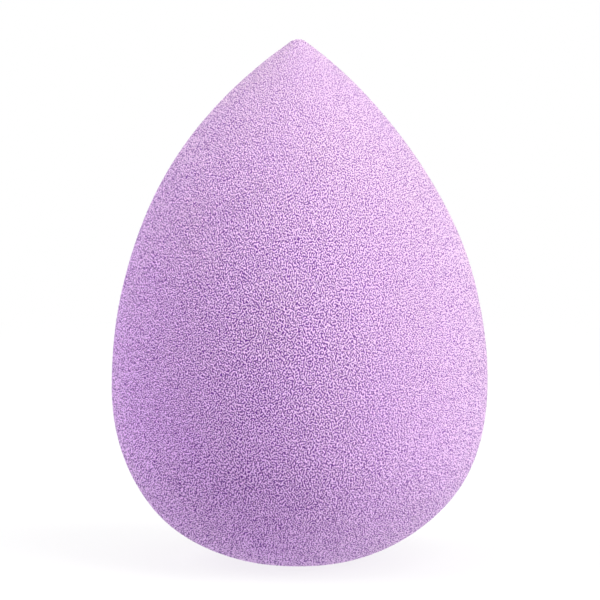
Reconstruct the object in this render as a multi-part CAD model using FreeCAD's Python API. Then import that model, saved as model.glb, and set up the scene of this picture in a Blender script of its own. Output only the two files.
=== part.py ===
"""Teardrop makeup sponge: one piece of soft foam, turned about the Z axis.

Millimetres. The origin is the middle of the flat foot that the sponge stands on, and +Z points up to the
tip. One half profile gives the whole form, as four arcs that run into each other without a corner: a
shallow crown under the base, a round bowl, a long flank and a small rounded tip. The profile is turned
once about Z, and the crown is then cut flat for the foot.
"""
import FreeCAD
import Part
import math
import os

# Overall size
HEIGHT = 60.0              # foot to tip
WIDEST_DIAMETER = 43.2     # across the widest plane
WIDEST_HEIGHT = 20.2       # foot to the widest plane

# Tip and base
TIP_RADIUS = 0.8           # radius of the rounded tip
CROWN_RADIUS = 28.0        # radius of the shallow crown under the base
CROWN_DIAMETER = 16.0      # across the crown, where it runs into the rounder bowl
FOOT_DEPTH = 0.5           # how much of the crown is cut away for the flat foot


def at(radius, height):
    """A point of the half profile, which lies in the XZ plane."""
    return FreeCAD.Vector(radius, 0, height)


def towards(start, target, distance):
    """The point that lies this distance from start, on the line to target."""
    return start + (target - start).normalize() * distance


def arc(centre, start, end):
    """The shorter arc about centre from start to end."""
    middle = towards(centre, (start + end) / 2, centre.distanceToPoint(start))
    return Part.Arc(start, middle, end).toShape()


def half_profile():
    """The closed outline on one side of the axis: crown, bowl, flank, tip, and back down the axis."""
    tip = at(0, HEIGHT)
    tip_centre = at(0, HEIGHT - TIP_RADIUS)
    base = at(0, -FOOT_DEPTH)
    crown_centre = at(0, CROWN_RADIUS - FOOT_DEPTH)

    # The flank is upright at the widest plane, and its radius is the one that meets the tip in line.
    widest_radius = WIDEST_DIAMETER / 2
    rise = tip_centre.z - WIDEST_HEIGHT
    flank_radius = (widest_radius ** 2 + rise ** 2 - TIP_RADIUS ** 2) / (2 * (widest_radius - TIP_RADIUS))
    flank_centre = at(widest_radius - flank_radius, WIDEST_HEIGHT)
    flank_top = towards(flank_centre, tip_centre, flank_radius)

    # The bowl leaves the edge of the crown in line, and its radius is the one that meets the flank in line.
    edge_slope = math.asin(CROWN_DIAMETER / 2 / CROWN_RADIUS)
    outward = at(math.sin(edge_slope), -math.cos(edge_slope))
    crown_edge = crown_centre + outward * CROWN_RADIUS
    reach = crown_edge - flank_centre
    bowl_radius = (flank_radius ** 2 - reach.Length ** 2) / (2 * (flank_radius - reach.dot(outward)))
    bowl_centre = crown_edge - outward * bowl_radius
    bowl_top = towards(flank_centre, bowl_centre, flank_radius)

    outline = [arc(crown_centre, base, crown_edge),
               arc(bowl_centre, crown_edge, bowl_top),
               arc(flank_centre, bowl_top, flank_top),
               arc(tip_centre, flank_top, tip),
               Part.LineSegment(tip, base).toShape()]
    return Part.Face(Part.Wire(outline))


def foam_body():
    """The whole sponge: the half profile turned once about Z, cut flat at the foot."""
    teardrop = half_profile().revolve(at(0, 0), FreeCAD.Vector(0, 0, 1), 360)
    below_foot = Part.makeBox(2 * WIDEST_DIAMETER, 2 * WIDEST_DIAMETER, HEIGHT,
                              FreeCAD.Vector(-WIDEST_DIAMETER, -WIDEST_DIAMETER, -HEIGHT))
    return teardrop.cut(below_foot)


os.makedirs("parts", exist_ok=True)
body = foam_body()
body.exportStep("parts/foam_body.step")
print("foam_body: %.1f cm3, %.1f x %.1f x %.1f mm" % (
    body.Volume / 1000, body.BoundBox.XLength, body.BoundBox.YLength, body.BoundBox.ZLength))
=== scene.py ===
# %% [markdown]
# # A makeup sponge
#
# This lesson dresses one object: a teardrop sponge of lilac foam, about 60 mm tall, the kind that dabs
# and blends makeup. It is a single piece of foam. What makes it look real is not its outline, which is
# simple, but its skin: thousands of tiny open pores, each a little darker than the foam around it. So
# most of the lesson is about pores.
#
# The sizes are in millimetres, because that is how a maker would give them, and one named value turns
# them into the metres of the scene.

# %% Load the solid that the sponge replaces
import math
import bpy
import numpy as np
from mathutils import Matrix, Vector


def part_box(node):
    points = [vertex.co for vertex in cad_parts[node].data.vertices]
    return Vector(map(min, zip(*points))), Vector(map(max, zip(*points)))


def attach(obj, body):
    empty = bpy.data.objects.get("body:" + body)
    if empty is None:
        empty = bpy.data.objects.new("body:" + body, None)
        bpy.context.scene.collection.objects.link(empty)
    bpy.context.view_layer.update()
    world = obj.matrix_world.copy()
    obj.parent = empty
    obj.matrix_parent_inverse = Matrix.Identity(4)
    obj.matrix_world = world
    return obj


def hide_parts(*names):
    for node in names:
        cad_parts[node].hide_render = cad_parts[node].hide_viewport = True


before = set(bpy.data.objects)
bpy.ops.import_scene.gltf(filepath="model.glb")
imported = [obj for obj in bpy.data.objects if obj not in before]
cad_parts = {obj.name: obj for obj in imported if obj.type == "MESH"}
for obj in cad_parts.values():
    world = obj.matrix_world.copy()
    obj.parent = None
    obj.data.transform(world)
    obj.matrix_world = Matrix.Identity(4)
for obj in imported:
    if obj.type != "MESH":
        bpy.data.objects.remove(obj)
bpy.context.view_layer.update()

MM = 0.001
foam_low, foam_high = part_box("foam_body")
print("solid foam_body, mm:", np.round((np.array(foam_high) - np.array(foam_low)) / MM, 2).tolist())

# %% [markdown]
# ## The camera
#
# The sponge stands upright and is seen nearly level, from a little above. A long lens from half a metre
# keeps the outline free of perspective stretch, which is how a small product is usually shot. The lens
# follows from two sizes: how far away the camera stands, and how wide a strip of the world the square
# picture shows at the sponge.

# %% Place the camera
CAMERA_DISTANCE = 500 * MM
CAMERA_ELEVATION = math.radians(6)
PICTURE_WIDTH = 68.9 * MM
AIM = np.array([0.05, 0, 30.08]) * MM
SENSOR_WIDTH = 36.0

camera = bpy.data.objects.new("camera", bpy.data.cameras.new("camera"))
camera.data.sensor_width = SENSOR_WIDTH
camera.data.lens = SENSOR_WIDTH * CAMERA_DISTANCE / PICTURE_WIDTH
back_off = np.array([0, -math.cos(CAMERA_ELEVATION), math.sin(CAMERA_ELEVATION)])
camera.location = AIM + CAMERA_DISTANCE * back_off
camera.rotation_euler = (math.pi / 2 - CAMERA_ELEVATION, 0, 0)
bpy.context.collection.objects.link(camera)
bpy.context.scene.camera = camera
bpy.context.scene.view_settings.view_transform = "Standard"
print("camera lens, mm:", round(camera.data.lens, 1))

# %% [markdown]
# ## Colours and nodes
#
# Colours are easiest to read as the hex values of a screen, but a renderer counts light, so one function
# turns hex into linear light. A second small function adds a node to a material with its settings and its
# links, which keeps every material below down to a few lines.

# %% Two helpers for materials
def linear(hex_colour):
    """sRGB hex to linear RGBA: a channel c is ((c + 0.055) / 1.055) ** 2.4, or c / 12.92 where very dark."""
    channels = np.array([int(hex_colour[i:i + 2], 16) for i in (1, 3, 5)]) / 255
    bright = ((channels + 0.055) / 1.055) ** 2.4
    return (*np.where(channels <= 0.04045, channels / 12.92, bright).tolist(), 1.0)


def add_node(tree, kind, inputs, **settings):
    """Adds a node: settings are its own fields, inputs give its sockets a value or another node's output."""
    node = tree.nodes.new(kind)
    for field, value in settings.items():
        setattr(node, field, value)
    for socket, value in inputs.items():
        if isinstance(value, bpy.types.NodeSocket):
            tree.links.new(value, node.inputs[socket])
        else:
            node.inputs[socket].default_value = value
    return node


print("lilac in linear light:", np.round(linear("#c8a0d4"), 3).tolist())

# %% [markdown]
# ## The white studio
#
# A small product is often shot in a tent of white cloth, so that the background is plain white. Here the
# world is the tent. The camera sees it as pure white, while the foam receives only a trace of light from
# it. That leaves the modelling of the form to the lamps and the floor. The tent and the floor both have to
# tell whether they are looked at or only give light, so one function adds the nodes that do.

# %% White world
FILL_LIGHT = 0.02


def looked_at(tree):
    """1 for a ray from the camera, from a reflection or through glass, 0 for one that gathers light."""
    path = add_node(tree, "ShaderNodeLightPath", {})
    seen = path.outputs["Is Camera Ray"]
    for ray in ("Is Glossy Ray", "Is Transmission Ray"):
        either = add_node(tree, "ShaderNodeMath", {0: seen, 1: path.outputs[ray]}, operation="MAXIMUM")
        seen = either.outputs[0]
    return seen


world = bpy.data.worlds.new("white_tent")
world.use_nodes = True
bpy.context.scene.world = world
tree = world.node_tree
tree.nodes.clear()
strength = add_node(tree, "ShaderNodeMapRange",
                    {"Value": looked_at(tree), "To Min": FILL_LIGHT, "To Max": 1.0})
background = add_node(tree, "ShaderNodeBackground",
                      {"Color": linear("#ffffff"), "Strength": strength.outputs["Result"]})
add_node(tree, "ShaderNodeOutputWorld", {"Surface": background.outputs[0]})
print("world fill light:", FILL_LIGHT)

# %% [markdown]
# ## The floor
#
# The floor is a wide sheet of white paper. Near the sponge the camera sees plain white mixed with a share
# of ordinary matt paper, which takes the soft shadow. Farther out it sees plain white only, so the sheet
# runs into the background without an edge. The foam sees the sheet as a softly lit table, whose glow
# brightens the underside of the bowl.

# %% Paper floor
FLOOR_SIZE = 3.0
FLOOR_DROP = 0.02 * MM       # keeps the foot clear of the sheet
FLOOR_WHITE = 0.8            # share of plain white near the sponge
SHADOW_REACH = (0.05, 0.25)  # m from the sponge, between which the matt share fades out
FLOOR_GLOW = 0.93            # light that the foam gets from the sheet

half = FLOOR_SIZE / 2
corners = [(x, y, -FLOOR_DROP) for x, y in ((-half, -half), (half, -half), (half, half), (-half, half))]
floor_mesh = bpy.data.meshes.new("paper_floor")
floor_mesh.from_pydata(corners, [], [(0, 1, 2, 3)])
floor = bpy.data.objects.new("paper_floor", floor_mesh)
bpy.context.collection.objects.link(floor)

paper = bpy.data.materials.new("white_paper_matt")
paper.use_nodes = True
tree = paper.node_tree
tree.nodes.clear()
place = add_node(tree, "ShaderNodeTexCoord", {})
reach = add_node(tree, "ShaderNodeVectorMath", {0: place.outputs["Object"]}, operation="LENGTH")
share = add_node(tree, "ShaderNodeMapRange",
                 {"Value": reach.outputs["Value"], "From Min": SHADOW_REACH[0], "From Max": SHADOW_REACH[1],
                  "To Min": FLOOR_WHITE, "To Max": 1.0})
matt = add_node(tree, "ShaderNodeBsdfDiffuse", {"Color": linear("#f4f4f4")})
white = add_node(tree, "ShaderNodeEmission", {"Color": linear("#ffffff"), "Strength": 1.0})
sheet = add_node(tree, "ShaderNodeMixShader",
                 {0: share.outputs["Result"], 1: matt.outputs[0], 2: white.outputs[0]})
glow = add_node(tree, "ShaderNodeEmission", {"Color": linear("#ffffff"), "Strength": FLOOR_GLOW})
mix = add_node(tree, "ShaderNodeMixShader", {0: looked_at(tree), 1: glow.outputs[0], 2: sheet.outputs[0]})
add_node(tree, "ShaderNodeOutputMaterial", {"Surface": mix.outputs[0]})
floor_mesh.materials.append(paper)
print("floor, m:", FLOOR_SIZE)

# %% [markdown]
# ## The lamps
#
# Five large soft panels stand round the sponge. Two on the right, one high and one low, are the main
# light and leave the left side in a gentle shade. One on the far left brings the edge back out of that
# shade. A weak one overhead lights the tip, and one behind lights the back for other views. Each is given
# by where it stands, as a turn from the camera and a height angle, by its size and by its power. Lamps
# stay out of the picture themselves.

# %% Soft panels
PANEL_DISTANCE = 0.7
PANEL_SIZE = 0.6
PANELS = {
    "panel_right_high": dict(turn=60, rise=45, watts=4.2),
    "panel_right_low": dict(turn=60, rise=10, watts=4.3),
    "panel_left": dict(turn=-84, rise=35, watts=4.25),
    "panel_top": dict(turn=0, rise=88, watts=2.3),
    "panel_back": dict(turn=180, rise=10, watts=2.5),
}

middle = (np.array(foam_low) + np.array(foam_high)) / 2
for name, panel in PANELS.items():
    turn, rise = math.radians(panel["turn"]), math.radians(panel["rise"])
    lamp = bpy.data.lights.new(name, "AREA")
    lamp.size = PANEL_SIZE
    lamp.energy = panel["watts"]
    lamp_object = bpy.data.objects.new(name, lamp)
    out = np.array([math.sin(turn) * math.cos(rise), -math.cos(turn) * math.cos(rise), math.sin(rise)])
    lamp_object.location = middle + PANEL_DISTANCE * out
    lamp_object.rotation_euler = (math.pi / 2 - rise, 0, turn)
    lamp_object.visible_camera = False
    bpy.context.collection.objects.link(lamp_object)
print("panels:", list(PANELS))

# %% [markdown]
# ## The outline of the teardrop
#
# Half of the outline is enough, because the sponge is round. It is drawn as a draughtsman would: a full
# curve for the bowl, a longer one for the flank, and a small round for the tip. The two long curves are
# Bezier curves, which leave and arrive in set directions, so they join the widest plane upright and the
# tip without a kink. At the foot the round base is soft enough to flatten, which a soft maximum with the
# floor does without a hard edge.

# %% Half outline from foot to tip
HEIGHT = (foam_high[2] - foam_low[2]) / MM
WIDEST_RADIUS = 21.55
WIDEST_HEIGHT = 20.3
FOOT_DEPTH = 0.5                         # how far the round base would dip below the floor
FOOT_SOFTNESS = 0.15                     # radius of the turn from base to foot
BASE_REACH, BOWL_REACH = 10.5, 14.9      # handles of the bowl curve, at the base and the widest plane
FLANK_REACH, TIP_REACH = 17.75, 14.2     # handles of the flank curve, at the widest plane and the tip
TIP_RADIUS = 1.45
TIP_SLOPE = math.radians(54)
CURVE_STEPS, TIP_STEPS = 1500, 60


def bezier(start, start_handle, end_handle, end, steps):
    """Points of a cubic Bezier curve: its four points weighted by the cubic Bernstein terms of t."""
    t = np.linspace(0, 1, steps)[:, None]
    points = np.array([start, start_handle, end_handle, end], dtype=float)
    weights = np.hstack([(1 - t) ** 3, 3 * t * (1 - t) ** 2, 3 * t ** 2 * (1 - t), t ** 3])
    return weights @ points


def half_outline():
    """(radius, height) of the outline in mm: bowl curve, flank curve, then the arc of the tip."""
    bowl = bezier((0, -FOOT_DEPTH), (BASE_REACH, -FOOT_DEPTH),
                  (WIDEST_RADIUS, WIDEST_HEIGHT - BOWL_REACH), (WIDEST_RADIUS, WIDEST_HEIGHT), CURVE_STEPS)
    tip_turn = np.linspace(TIP_SLOPE, math.pi / 2, TIP_STEPS)
    tip = np.stack([TIP_RADIUS * np.cos(tip_turn), HEIGHT - TIP_RADIUS * (1 - np.sin(tip_turn))], -1)
    slope = np.array([math.sin(TIP_SLOPE), -math.cos(TIP_SLOPE)])
    flank = bezier((WIDEST_RADIUS, WIDEST_HEIGHT), (WIDEST_RADIUS, WIDEST_HEIGHT + FLANK_REACH),
                   tip[0] + TIP_REACH * slope, tip[0], CURVE_STEPS)
    outline = np.concatenate([bowl, flank[1:], tip[1:]])
    height = (outline[:, 1] + np.hypot(outline[:, 1], FOOT_SOFTNESS)) / 2
    outline[:, 1] = (height - height[0]) * HEIGHT / (height[-1] - height[0])
    return outline


outline = half_outline()
print("outline:", len(outline), "points, widest radius", round(outline[:, 0].max(), 2), "mm")

# %% [markdown]
# ## Six square patches
#
# A grid of rings and spokes would crowd its points at the tip and starve the widest part. The surface of
# a cube has no such poles: blown up to a ball, its six square faces have points that are almost evenly
# spread. The ball then becomes the teardrop by a rule that keeps areas: the share of the ball below a
# point is the share of the sponge's skin below it. Every patch keeps its square grid, which also gives it
# a clean square in the texture map.

# %% Directions of the six patches on a ball
PATCHES = 6
PATCH_QUADS = 360  # along each side of a patch


def ball_patches(quads):
    """Unit vectors on six square grids: tangents of even angles on each cube face, scaled to length 1."""
    even = np.tan(np.linspace(-math.pi / 4, math.pi / 4, quads + 1))
    u, v = np.meshgrid(even, even, indexing="ij")
    one = np.ones_like(u)
    faces = [(one, u, v), (-one, v, u), (v, one, u), (u, -one, v), (u, v, one), (v, u, -one)]
    cube = np.array([np.stack(face, -1) for face in faces])
    return cube / np.linalg.norm(cube, axis=-1, keepdims=True)


directions = ball_patches(PATCH_QUADS).reshape(-1, 3)
print("grid points:", len(directions))

# %% Weld the patches along their edges
WELD_DIGITS = 6


def quad_corners(grid):
    """The values at the four corners of every quad, in order round the quad."""
    return grid[:, :-1, :-1], grid[:, 1:, :-1], grid[:, 1:, 1:], grid[:, :-1, 1:]


rounded = np.round(directions, WELD_DIGITS) + 0.0
_, first, welded = np.unique(rounded, axis=0, return_index=True, return_inverse=True)
directions = directions[first]
numbers = welded.reshape(PATCHES, PATCH_QUADS + 1, PATCH_QUADS + 1)
quads = np.stack(quad_corners(numbers), -1).reshape(-1, 4)
print("welded points:", len(directions), "quads:", len(quads))

# %% Ball to teardrop
def teardrop(directions, outline):
    """Points and outward normals: the share of skin below a point picks its place on the turned outline."""
    step = np.diff(outline, axis=0)
    length = np.hypot(step[:, 0], step[:, 1])
    skin = np.concatenate([[0], np.cumsum(length * (outline[:-1, 0] + outline[1:, 0]))])
    share = (1 + directions[:, 2]) / 2 * skin[-1]
    tangent = np.gradient(outline, axis=0)
    tangent /= np.hypot(tangent[:, 0], tangent[:, 1])[:, None]
    radius, height, tangent_r, tangent_z = (np.interp(share, skin, column)
                                            for column in (*outline.T, *tangent.T))
    spoke = directions[:, :2] / np.maximum(np.hypot(directions[:, 0], directions[:, 1]), 1e-9)[:, None]
    points = np.column_stack([spoke * radius[:, None], height])
    normals = np.column_stack([spoke * tangent_z[:, None], -tangent_r])
    return points, normals / np.linalg.norm(normals, axis=1, keepdims=True)


points, normals = teardrop(directions, outline)
skin_area = np.pi * (np.hypot(*np.diff(outline, axis=0).T) * (outline[:-1, 0] + outline[1:, 0])).sum()
print("teardrop box, mm:", np.round(points.max(0) - points.min(0), 2).tolist())

# %% [markdown]
# ## Not quite round
#
# Foam is ground to shape on a wheel, and it gives under the wheel, so no sponge is perfectly round. This
# one leans a few tenths of a millimetre to one side below its tip and again near its foot, and its skin
# is slightly uneven.

# %% Lean and unevenness
LEANS = ((-0.43, 49.0, 10.5), (-0.36, 3.0, 4.0))  # mm: shift along X, its height, its spread
UNEVEN_DEPTH = 0.04   # mm
UNEVEN_LENGTH = 12.0  # mm from one swelling to the next
UNEVEN_WAVES = 6
UNEVEN_FROM = 5.0     # mm of height over which the unevenness grows from none at the foot


def unevenness(points, seed=4):
    """A few plane waves of random direction and phase, each about UNEVEN_LENGTH long, added up."""
    random = np.random.default_rng(seed)
    waves = random.normal(size=(UNEVEN_WAVES, 3))
    waves *= 2 * math.pi / UNEVEN_LENGTH / np.linalg.norm(waves, axis=1, keepdims=True)
    phases = random.uniform(0, 2 * math.pi, UNEVEN_WAVES)
    return UNEVEN_DEPTH * np.sin(points @ waves.T + phases).mean(1)


for shift, height, spread in LEANS:
    points[:, 0] += shift * np.exp(-((points[:, 2] - height) / spread) ** 2)
off_the_foot = np.clip(points[:, 2] / UNEVEN_FROM, 0, 1)
points += normals * (unevenness(points) * off_the_foot)[:, None]
print("after lean, mm:", np.round(points.min(0), 2).tolist(), np.round(points.max(0), 2).tolist())

# %% [markdown]
# ## Hollows
#
# Foam is a pile of bubbles of nearly one size. Where the grinding wheel has cut through them, the skin is
# left as a maze of tiny hollows with thin ridges between. Placing bubbles one by one leaves gaps and
# clumps. Adding up many waves that run in all directions, all of nearly the same length, gives hollows of
# one size with no grid and no gaps. The waves fill space, so the surface cuts through them without a
# seam. These hollows are real ones in the mesh, which roughen the edge of the sponge and catch the light.
# The finest pores come later, in the material.

# %% Maze of hollows
HOLLOW_SPACING = (0.42, 0.26)  # mm from one hollow to the next, longest and shortest
HOLLOW_WAVES = 300
HOLLOW_GAIN = 1.6              # how steep the step from ridge to hollow is
HOLLOW_DEPTH = 0.12            # mm from ridge to hollow


def hollow_share(points, seed=11):
    """0 on a ridge to 1 in a hollow: random plane waves, added, then steepened by a logistic."""
    random = np.random.default_rng(seed)
    waves = random.normal(size=(HOLLOW_WAVES, 3))
    per_mm = random.uniform(1 / HOLLOW_SPACING[0], 1 / HOLLOW_SPACING[1], (HOLLOW_WAVES, 1))
    waves *= 2 * math.pi * per_mm / np.linalg.norm(waves, axis=1, keepdims=True)
    phases = random.uniform(0, 2 * math.pi, HOLLOW_WAVES)
    places = points.astype(np.float32)
    total = np.zeros(len(places), np.float32)
    for wave, phase in zip(waves.astype(np.float32), phases.astype(np.float32)):
        total += np.cos(places @ wave + phase)
    return 1 / (1 + np.exp(-2 * HOLLOW_GAIN * total / np.sqrt(HOLLOW_WAVES / 2)))


hollows = hollow_share(points)
print("hollow share, mean and spread:", np.round([hollows.mean(), hollows.std()], 3).tolist())

# %% [markdown]
# ## The mesh
#
# The arrays go into a Blender mesh in one step each. Then each patch gets its own square in two texture
# maps. One is packed into the unit square, ready for baking. The other is measured in millimetres of
# skin, and on that one the material draws its pores at their real size.

# %% Sponge mesh
skin_points = points + normals * (HOLLOW_DEPTH * (0.5 - hollows))[:, None]
skin_points[:, 2] = np.maximum(skin_points[:, 2], 0)
mesh = bpy.data.meshes.new("foam_sponge")
mesh.vertices.add(len(skin_points))
mesh.vertices.foreach_set("co", (skin_points * MM).astype(np.float32).ravel())
mesh.loops.add(quads.size)
mesh.loops.foreach_set("vertex_index", quads.astype(np.int32).ravel())
mesh.polygons.add(len(quads))
mesh.polygons.foreach_set("loop_start", np.arange(0, quads.size, 4, dtype=np.int32))
mesh.polygons.foreach_set("use_smooth", np.ones(len(quads), bool))
mesh.update(calc_edges=True)
sponge = bpy.data.objects.new("foam_sponge", mesh)
bpy.context.collection.objects.link(sponge)
print("mesh valid:", not mesh.validate(), "triangles:", 2 * len(quads))

# %% Texture maps of six squares
PATCH_SIDE = math.sqrt(skin_area / PATCHES)
MAP_COLUMNS, MAP_ROWS = 3, 2
MAP_MARGIN = 0.01


def patch_map(quads_per_side, side, columns):
    """UV of every quad corner: how far it lies across and along its patch, plus a whole step per patch."""
    step = np.linspace(0, side, quads_per_side + 1)
    u, v = np.meshgrid(step, step, indexing="ij")
    patch = np.arange(PATCHES)[:, None, None]
    grid = np.stack([u + patch % columns, v + patch // columns], -1)
    return np.stack(quad_corners(grid), -2).reshape(-1, 2)


bake_map = patch_map(PATCH_QUADS, 1 - 2 * MAP_MARGIN, MAP_COLUMNS) + MAP_MARGIN
bake_map /= (MAP_COLUMNS, MAP_ROWS)
mesh.uv_layers.new(name="OFBake").data.foreach_set("uv", bake_map.astype(np.float32).ravel())
skin_map = patch_map(PATCH_QUADS, 1, PATCHES) * PATCH_SIDE
mesh.uv_layers.new(name="skin_mm").data.foreach_set("uv", skin_map.astype(np.float32).ravel())
print("patch side, mm:", round(PATCH_SIDE, 2))

# %% [markdown]
# ## Open-cell polyurethane foam
#
# The foam is dyed through and dull. Its skin looks pale and chalky, because light leaves it after one or
# two bounces. A flat colour would look like plastic, so slow changes run through the colour. Painted shade
# makes it a bluer, deeper lilac low on the left, and painted light a paler, pinker one high on the right,
# where the main lamps stand; soft clouds of random tone run through it too. The dye is made first, then
# the pores, then the surface that joins them.

# %% Dye of the foam, with painted light and shade
# painted light and shade: the first colour is the dye darkened for the shaded low left, the second the dye
# lightened for the lit high right
DYE_WITH_PAINTED_SHADE, DYE_WITH_PAINTED_LIGHT = "#ecb9ff", "#eed3e2"
PAINTED_LIGHT_SLANT = (1.25, 0, 1)  # the way from low to high: rightwards and up
CLOUD_SIZE = 7.0          # mm across a cloud in the dye
CLOUD_SHARE = 0.3

# Dyed foam, ground to shape: chalky lilac walls round pores painted deep violet as shade, with no gloss.
foam = bpy.data.materials.new("polyurethane_foam_open_cell_ground")
foam.use_nodes = True
tree = foam.node_tree
tree.nodes.clear()
place = add_node(tree, "ShaderNodeTexCoord", {})
# the slant from painted shade low on the left to painted light high on the right
light_slant = add_node(tree, "ShaderNodeVectorMath",
                 {0: place.outputs["Object"], 1: PAINTED_LIGHT_SLANT}, operation="DOT_PRODUCT")
light_slant = add_node(tree, "ShaderNodeMapRange", {"Value": light_slant.outputs["Value"], "From Max": HEIGHT * MM})
cloud = add_node(tree, "ShaderNodeTexNoise",
                 {"Vector": place.outputs["Object"], "Scale": 1 / (CLOUD_SIZE * MM)})
# mixes the slant of painted light and shade with clouds of random tone
light_slant_and_clouds = add_node(tree, "ShaderNodeMix", {0: CLOUD_SHARE, 2: light_slant.outputs["Result"], 3: cloud.outputs["Fac"]},
               data_type="FLOAT")
# the wall colour: deeper where shade is painted, paler where light is painted
dye_lit_and_shaded = add_node(tree, "ShaderNodeMix", {0: light_slant_and_clouds.outputs[0], 6: linear(DYE_WITH_PAINTED_SHADE), 7: linear(DYE_WITH_PAINTED_LIGHT)},
                data_type="RGBA")
print("foam material:", foam.name)

# %% [markdown]
# ## Pores in the foam
#
# A pore is a tiny pit cut open by the wheel. In it the light bounces many times on dyed walls, so the
# pits are given a deeper colour, not grey: painted shade, set into the real grain of the foam. A Voronoi
# pattern is the usual way to draw cells, but theirs vary so much in size that the grain looks soft. Gabor
# noise is made of short ripples of one wavelength, and cut near half height it leaves a maze of pits and
# walls, one of each to about a quarter of a millimetre, with no grid. Low on the bowl the bubbles are a
# little larger, so a coarser maze takes over there. Towards the tip and on the right, where the lamps fall
# full into the pits, the painted shade fades towards the average colour, which is painted light.

# %% Pores of the foam
# the colour of the pits is painted shade, laid into the real grain of pores
PORE_PAINTED_SHADE = "#681f8e"
PORE_SPACING = (0.262, 0.3)       # mm from one pore to the next, high up and low down
COARSE_BELOW = (12.0, 19.0)       # mm of height between which the low pores give way to the high ones
PORE_RIPPLES = 1.15               # ripples in one patch of the noise
PORE_EDGE = (0.455, 0.52)         # noise levels between which a pore turns into a wall
PORE_SHARE = 0.47                 # share of the skin that lies in pores
# painted light: the painted shade in the pores fades up towards the tip and across to the right, where the
# lamps fall full on them; each gives where the fade starts and ends in mm, and how much shade stays
PORE_SHADE_FADE_UP = (46.0, 58.0, 0.45)    # mm of height between which pores close, and how open they stay
PORE_SHADE_FADE_SIDE = (-6.0, 10.0, 0.75)  # the same across, from left to right

skin = add_node(tree, "ShaderNodeUVMap", {}, uv_map="skin_mm")
fine, coarse = (add_node(tree, "ShaderNodeTexGabor",
                         {"Vector": skin.outputs["UV"], "Scale": 1 / (spacing * PORE_RIPPLES),
                          "Frequency": PORE_RIPPLES, "Anisotropy": 0.0}, gabor_type="2D")
                for spacing in PORE_SPACING)
axes = add_node(tree, "ShaderNodeSeparateXYZ", {"Vector": place.outputs["Object"]})
high = add_node(tree, "ShaderNodeMapRange",
                {"Value": axes.outputs["Z"],
                 "From Min": COARSE_BELOW[0] * MM, "From Max": COARSE_BELOW[1] * MM})
maze = add_node(tree, "ShaderNodeMix",
                {0: high.outputs["Result"], 2: coarse.outputs["Value"], 3: fine.outputs["Value"]},
                data_type="FLOAT")
pit = add_node(tree, "ShaderNodeMapRange",
               {"Value": maze.outputs[0], "From Min": PORE_EDGE[0], "From Max": PORE_EDGE[1],
                "To Min": 1.0, "To Max": 0.0})
# how much of the painted shade in the pores stays, less up at the tip and on the right as painted light
up, side = (add_node(tree, "ShaderNodeMapRange",
                     {"Value": axes.outputs[axis], "From Min": start * MM, "From Max": end * MM,
                      "To Min": 1.0, "To Max": shade_kept})
            for axis, (start, end, shade_kept) in (("Z", PORE_SHADE_FADE_UP), ("X", PORE_SHADE_FADE_SIDE)))
pore_shade_kept = add_node(tree, "ShaderNodeMath", {0: up.outputs["Result"], 1: side.outputs["Result"]},
                    operation="MULTIPLY")
# where the painted shade fades, the pits take the average colour of the skin
pore = add_node(tree, "ShaderNodeMix", {0: pore_shade_kept.outputs[0], 2: PORE_SHARE, 3: pit.outputs["Result"]},
                data_type="FLOAT")
# walls of dye with painted light and shade, round pits of painted shade
colour = add_node(tree, "ShaderNodeMix", {0: pore.outputs[0], 6: dye_lit_and_shaded.outputs[2], 7: linear(PORE_PAINTED_SHADE)},
                  data_type="RGBA")
print("pores to a centimetre:", np.round(10 / np.array(PORE_SPACING)).astype(int).tolist())

# %% [markdown]
# ## The matt surface
#
# The walls between the pores are thin and broken, so they scatter light widely and have no gloss. The maze
# also drives a bump, which shades each pore on the side away from the light. A sheen stands for the fine
# fuzz that the wheel leaves, and lightens the foam where it turns away.

# %% Matt surface of the foam
PORE_DEPTH = 0.1                # mm of height in the noise, for the bump
FOAM_ROUGHNESS = (0.85, 1.0)    # on a wall and in a pore
FOAM_IOR = 1.45
FOAM_SPECULAR = 0.25            # half of solid plastic, since walls are thin and broken
FUZZ_WEIGHT, FUZZ_ROUGHNESS = 0.4, 0.5

bump = add_node(tree, "ShaderNodeBump",
                {"Height": maze.outputs[0], "Strength": 1.0, "Distance": PORE_DEPTH * MM})
rough = add_node(tree, "ShaderNodeMapRange",
                 {"Value": pit.outputs["Result"], "To Min": FOAM_ROUGHNESS[0], "To Max": FOAM_ROUGHNESS[1]})
shader = add_node(tree, "ShaderNodeBsdfPrincipled",
                  {"Base Color": colour.outputs[2], "Roughness": rough.outputs["Result"], "IOR": FOAM_IOR,
                   "Specular IOR Level": FOAM_SPECULAR, "Normal": bump.outputs["Normal"],
                   "Sheen Weight": FUZZ_WEIGHT, "Sheen Roughness": FUZZ_ROUGHNESS,
                   "Sheen Tint": linear("#ffffff")})
add_node(tree, "ShaderNodeOutputMaterial", {"Surface": shader.outputs[0]})
mesh.materials.append(foam)
print("nodes in the foam:", len(tree.nodes))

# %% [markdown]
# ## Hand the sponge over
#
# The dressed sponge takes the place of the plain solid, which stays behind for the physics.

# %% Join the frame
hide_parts("foam_body")
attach(sponge, "root")
